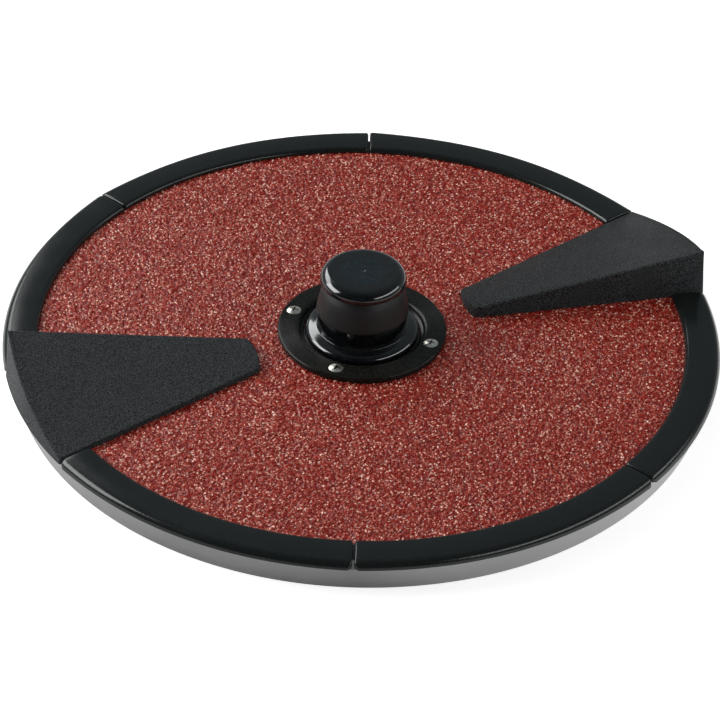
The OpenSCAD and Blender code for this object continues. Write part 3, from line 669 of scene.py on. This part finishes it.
clamp = {"inner": 33.6, "foot": 31.9, "outer": 46.0, "low": 19.3, "top": 22.5, "bevel": 1.0, "fall": 0.35,
         "innerRound": 2.3, "footRound": 0.3, "inside": ((33.5, 20.4), (32.4, 20.0), (31.9, 19.7)),
         "longest": 2.0, "stepsRound": 256}


def buildClampRing():
    # anticlockwise section: foot, bevelled outer edge, and a top that falls outwards from a rounded edge
    c, f = clamp, clamp["footRound"]
    profile = np.concatenate([
        [[c["foot"], c["low"]]], arc(c["outer"] - f, c["low"] + f, f, 270, 360, 3),
        arc(c["outer"] - c["bevel"], c["top"] - c["bevel"] - c["fall"], c["bevel"], 0, 86, 7),
        arc(c["inner"] + c["innerRound"], c["top"] - c["innerRound"], c["innerRound"], 90, 170, 8),
        cutCorners(np.array(c["inside"]), 2)])
    points, faces = revolve(subdivide(profile, c["longest"], closed=True), c["stepsRound"])
    piece = makePiece("clampRing", points, faces, [ringBlack], "plate")
    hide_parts("clamp_ring")
    return piece


buildClampRing()
print("clamp ring ready")

# lifting knob

knob = {"low": 19.4, "bore": 15.5, "footRadius": 31.0, "footBevel": 0.3, "footWall": 19.65,
        "flangeMiddle": (27.7, 20.5), "flangeRound": 3.3, "flangeTurn": 72,
        "stemLine": ((27.2, 24.1), (25.3, 24.6), (24.8, 24.75), (24.7, 25.2), (24.65, 28.0), (24.65, 31.0),
                     (24.75, 34.8)),
        "gripLine": ((24.75, 34.8), (25.05, 35.0), (25.1, 36.2), (24.4, 39.2), (22.5, 47.4), (21.0, 50.4),
                     (20.2, 51.8)),
        "headLine": ((20.2, 51.8), (20.3, 52.7), (22.1, 52.8), (23.5, 53.9), (23.5, 54.6)),
        "headRadius": 23.5, "headRound": 5.4, "top": 60.0,
        "capRadius": 12.05, "capEdge": 59.97, "capSeat": 58.2, "wellRadius": 11.2, "wellLow": 47.0,
        "postBore": 8.05, "floor": 36.6, "cuts": 3, "stepsRound": 192}


def knobProfile():
    # anticlockwise section in three parts: rounded flange and straight stem | grip | neck, head and well
    k = knob
    foot = np.concatenate([
        [[k["bore"], k["low"]], [k["footRadius"] - k["footBevel"], k["low"]],
         [k["footRadius"], k["footWall"]]],
        arc(*k["flangeMiddle"], k["flangeRound"], 0, k["flangeTurn"], 12),
        cutCorners(np.array(k["stemLine"]), k["cuts"])])
    grip = cutCorners(np.array(k["gripLine"]), k["cuts"])
    head = np.concatenate([
        cutCorners(np.array(k["headLine"]), k["cuts"])[1:-1],
        arc(k["headRadius"] - k["headRound"], k["top"] - k["headRound"], k["headRound"], 0, 90, 12),
        [[k["capRadius"], k["capEdge"]], [k["capRadius"], k["capSeat"]],
         [k["wellRadius"], k["capSeat"]], [k["wellRadius"], k["wellLow"]], [k["postBore"], k["wellLow"]],
         [k["postBore"], k["floor"]], [k["bore"], k["floor"]]]])
    return foot, grip, head


def buildKnob():
    # the section turned round the axis, polished but for the satin grip
    foot, grip, head = knobProfile()
    profile = np.concatenate([foot, grip[1:], head])
    points, faces = revolve(profile, knob["stepsRound"])
    zone = np.zeros(len(profile), dtype=int)
    zone[len(foot) - 1:len(foot) + len(grip) - 2] = 1
    piece = makePiece("knobBody", points, faces, [glossBlack, satinBlack], "knob",
                      materialRows=np.repeat(zone, knob["stepsRound"]))
    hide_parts("lifting_knob")
    return piece


cap = {"radius": 12.03, "low": 58.2, "side": 59.7, "level": 59.98, "ringPitch": 2.2, "ringDepth": 0.015,
       "dimple": 1.3, "dimpleDepth": 0.35, "stepsAcross": 120, "stepsRound": 128}


def buildCap():
    # turned top: height = level - depth cos(2 pi radius / pitch), less a small cone at the very middle
    r = np.linspace(cap["radius"], 0, cap["stepsAcross"] + 1)
    cone = cap["dimpleDepth"] * np.maximum(0, 1 - r / cap["dimple"])
    height = cap["level"] - cap["ringDepth"] * np.cos(2 * np.pi * r / cap["ringPitch"]) - cone
    side = [[0, cap["low"]], [cap["radius"], cap["low"]], [cap["radius"], cap["side"]]]
    profile = np.concatenate([side, np.stack([r, height], -1)])
    points, faces = revolve(profile, cap["stepsRound"], closed=False)
    piece = makePiece("knobCap", points, faces, [capBlackBlueSheen], "knob")
    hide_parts("knob_cap")
    return piece


buildKnob()
buildCap()
print("knob ready")

# CAD nodes that stay

keptFinishes = {
    "carrier_plate": castMetal, "rim_screws": fastenerSteel, "rim_washers": fastenerSteel,
    "vane_inserts": insertBrass, "vane_screws": fastenerSteel, "vane_washers": fastenerSteel,
    "ring_seal": sealRubber, "ring_screws": brightNickel, "ring_washers": fastenerSteel,
    "ring_nuts": fastenerSteel, "drive_hub": turnedSteel, "hub_screws": fastenerSteel,
    "thrust_washer": nylonWhite, "knob_bush": bushBronze, "keeper_washer": fastenerSteel,
    "keeper_screw": fastenerSteel}
for node, finish in keptFinishes.items():
    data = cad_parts[node].data
    data.materials.clear()
    data.materials.append(finish)
print("kept nodes finished")

# floor, lights and camera

studio = {
    "turn": -11.7,  # the camera's own frame is turned by this many degrees against the object's
    "lights": (("leftSoftbox", (-1.5, 0.05, 0.85), (1.1, 0.85), 23.0),
               ("backLeftSoftbox", (-1.05, 1.05, 1.05), (1.3, 0.6), 13.0),
               ("rightSoftbox", (1.3, -0.5, 0.75), (2.2, 0.3), 9.5)),  # place, size and watts
    "aim": (0, 0, 0.02), "ambient": 0.32,
    "floorSide": 30.0, "floorTone": 0.7, "floorLift": 0.68,
    # what mirror-like rays find on the floor
    "sideFrom": 0.05, "sideTo": 0.23, "dullMiddle": -0.05, "darkFrom": 0.3, "darkTo": 0.7, "darkTone": 0.02,
    # and in the room
    "roomBack": (0.15, 0.18, 0.19, 1), "roomFront": (0.03, 0.034, 0.036, 1), "frontFrom": -0.5, "backTo": 0.4,
    "ceilingFrom": 0.6, "whiteSeen": 0.12}
view = {"place": (-0.00059, -1.3747, 1.0509), "tilt": 37.41, "roll": 1.62, "sensor": 36.0, "lens": 157.67,
        "clip": (0.05, 200.0)}


def grey(tone):
    return (tone, tone, tone, 1)


def turned(vector):
    return Matrix.Rotation(math.radians(studio["turn"]), 3, "Z") @ Vector(vector)


def seenDirectly(tree, mirrorShare):
    # one for camera and see-through rays, a share for mirror-like ones, nought for light that falls on things
    path = tree.nodes.new("ShaderNodeLightPath")
    both = addNode(tree, "ShaderNodeMath", {
        0: path.outputs["Is Glossy Ray"], 1: mirrorShare, 2: path.outputs["Is Camera Ray"]},
        operation="MULTIPLY_ADD", use_clamp=True)
    return addNode(tree, "ShaderNodeMath", {0: both.outputs[0], 1: path.outputs["Is Transmission Ray"]},
                   operation="ADD", use_clamp=True).outputs[0]


def buildFloor():
    mesh = bpy.data.meshes.new("studioFloor")
    side = studio["floorSide"]
    corners = [(-side, -side, 0), (side, -side, 0), (side, side, 0), (-side, side, 0)]
    mesh.from_pydata(corners, [], [(0, 1, 2, 3)])
    material = bpy.data.materials.new("paleFloor")
    material.use_nodes = True
    tree = material.node_tree
    shader, out = tree.nodes["Principled BSDF"], tree.nodes["Material Output"]
    shader.inputs["Roughness"].default_value = 0.9
    shader.inputs["Specular IOR Level"].default_value = 0.0
    # mirror-like rays find the floor bright at the object's sides, dull before it and dark far away
    place = tree.nodes.new("ShaderNodeTexCoord").outputs["Object"]
    distance = addNode(tree, "ShaderNodeVectorMath", {0: place}, operation="LENGTH")
    far = addNode(tree, "ShaderNodeMapRange", {
        "Value": distance.outputs["Value"], "From Min": studio["darkFrom"], "From Max": studio["darkTo"]})
    mirrored = tree.nodes.new("ShaderNodeLightPath").outputs["Is Glossy Ray"]
    hidden = addNode(tree, "ShaderNodeMath", {0: far.outputs["Result"], 1: mirrored}, operation="MULTIPLY")
    tone = mixColours(tree, hidden.outputs[0], grey(studio["floorTone"]), grey(studio["darkTone"]))
    tree.links.new(tone, shader.inputs["Base Color"])
    middle = turned((studio["dullMiddle"], 0, 0))
    fromMiddle = addNode(tree, "ShaderNodeVectorMath", {0: place, 1: middle}, operation="SUBTRACT")
    sideways = addNode(tree, "ShaderNodeVectorMath", {0: fromMiddle.outputs[0], 1: turned((1, 0, 0))},
                       operation="DOT_PRODUCT")
    away = addNode(tree, "ShaderNodeMath", {0: sideways.outputs["Value"]}, operation="ABSOLUTE")
    share = addNode(tree, "ShaderNodeMapRange", {
        "Value": away.outputs[0], "From Min": studio["sideFrom"], "From Max": studio["sideTo"]})
    seen = seenDirectly(tree, share.outputs["Result"])
    lift = addNode(tree, "ShaderNodeMath", {0: seen, 1: studio["floorLift"]}, operation="MULTIPLY")
    glow = addNode(tree, "ShaderNodeEmission", {"Strength": lift.outputs[0]})
    both = tree.nodes.new("ShaderNodeAddShader")
    tree.links.new(shader.outputs[0], both.inputs[0])
    tree.links.new(glow.outputs[0], both.inputs[1])
    tree.links.new(both.outputs[0], out.inputs["Surface"])
    mesh.materials.append(material)
    floor = bpy.data.objects.new("studioFloor", mesh)
    bpy.context.scene.collection.objects.link(floor)


def buildWorld():
    world = bpy.data.worlds.new("studioWorld")
    bpy.context.scene.world = world
    world.use_nodes = True
    tree = world.node_tree
    background = tree.nodes["Background"]
    level = addNode(tree, "ShaderNodeMapRange", {
        "Value": seenDirectly(tree, 1.0), "To Min": studio["ambient"], "To Max": 1.0})
    tree.links.new(level.outputs["Result"], background.inputs["Strength"])
    # mirror-like rays see a dim room, a little paler low down at the back
    way = tree.nodes.new("ShaderNodeTexCoord").outputs["Generated"]
    split = addNode(tree, "ShaderNodeSeparateXYZ", {"Vector": way})
    toBack = addNode(tree, "ShaderNodeVectorMath", {0: way, 1: turned((0, 1, 0))}, operation="DOT_PRODUCT")
    back = addNode(tree, "ShaderNodeMapRange", {
        "Value": toBack.outputs["Value"], "From Min": studio["frontFrom"], "From Max": studio["backTo"]})
    low = addNode(tree, "ShaderNodeMapRange", {
        "Value": split.outputs["Z"], "From Min": studio["ceilingFrom"], "From Max": 0.0},
        interpolation_type="SMOOTHSTEP")
    room = mixColours(tree, back.outputs["Result"], studio["roomFront"], studio["roomBack"])
    both = addNode(tree, "ShaderNodeMath", {0: low.outputs["Result"], 1: back.outputs["Result"]},
                   operation="MULTIPLY")
    white = addNode(tree, "ShaderNodeMath", {0: both.outputs[0], 1: studio["whiteSeen"]},
                    operation="MULTIPLY")
    path = tree.nodes.new("ShaderNodeLightPath")
    hidden = addNode(tree, "ShaderNodeMath", {0: 1.0, 1: white.outputs[0]}, operation="SUBTRACT")
    share = addNode(tree, "ShaderNodeMath", {0: hidden.outputs[0], 1: path.outputs["Is Glossy Ray"]},
                    operation="MULTIPLY")
    tree.links.new(mixColours(tree, share.outputs[0], grey(1), room), background.inputs["Color"])


def buildLights():
    for name, spot, size, power in studio["lights"]:
        data = bpy.data.lights.new(name, "AREA")
        data.shape, data.size, data.size_y = "RECTANGLE", size[0], size[1]
        data.energy = power
        light = bpy.data.objects.new(name, data)
        light.location = turned(spot)
        light.rotation_mode = "QUATERNION"
        light.rotation_quaternion = (Vector(studio["aim"]) - light.location).to_track_quat("-Z", "Y")
        bpy.context.scene.collection.objects.link(light)


def buildCamera():
    data = bpy.data.cameras.new("camera")
    data.sensor_width, data.lens = view["sensor"], view["lens"]
    data.clip_start, data.clip_end = view["clip"]
    camera = bpy.data.objects.new("camera", data)
    tilt, roll = math.radians(view["tilt"]), math.radians(view["roll"])
    right, up = Vector((1, 0, 0)), Vector((0, math.sin(tilt), math.cos(tilt)))
    ahead = Vector((0, math.cos(tilt), -math.sin(tilt)))
    across = turned(right * math.cos(roll) + up * math.sin(roll))
    upward = turned(up * math.cos(roll) - right * math.sin(roll))
    facing = Matrix((across, upward, -turned(ahead))).transposed().to_4x4()
    camera.matrix_world = Matrix.Translation(turned(view["place"])) @ facing
    bpy.context.scene.collection.objects.link(camera)
    bpy.context.scene.camera = camera


buildFloor()
buildWorld()
buildLights()
buildCamera()
bpy.context.scene.view_settings.view_transform = "Standard"
print("studio ready")
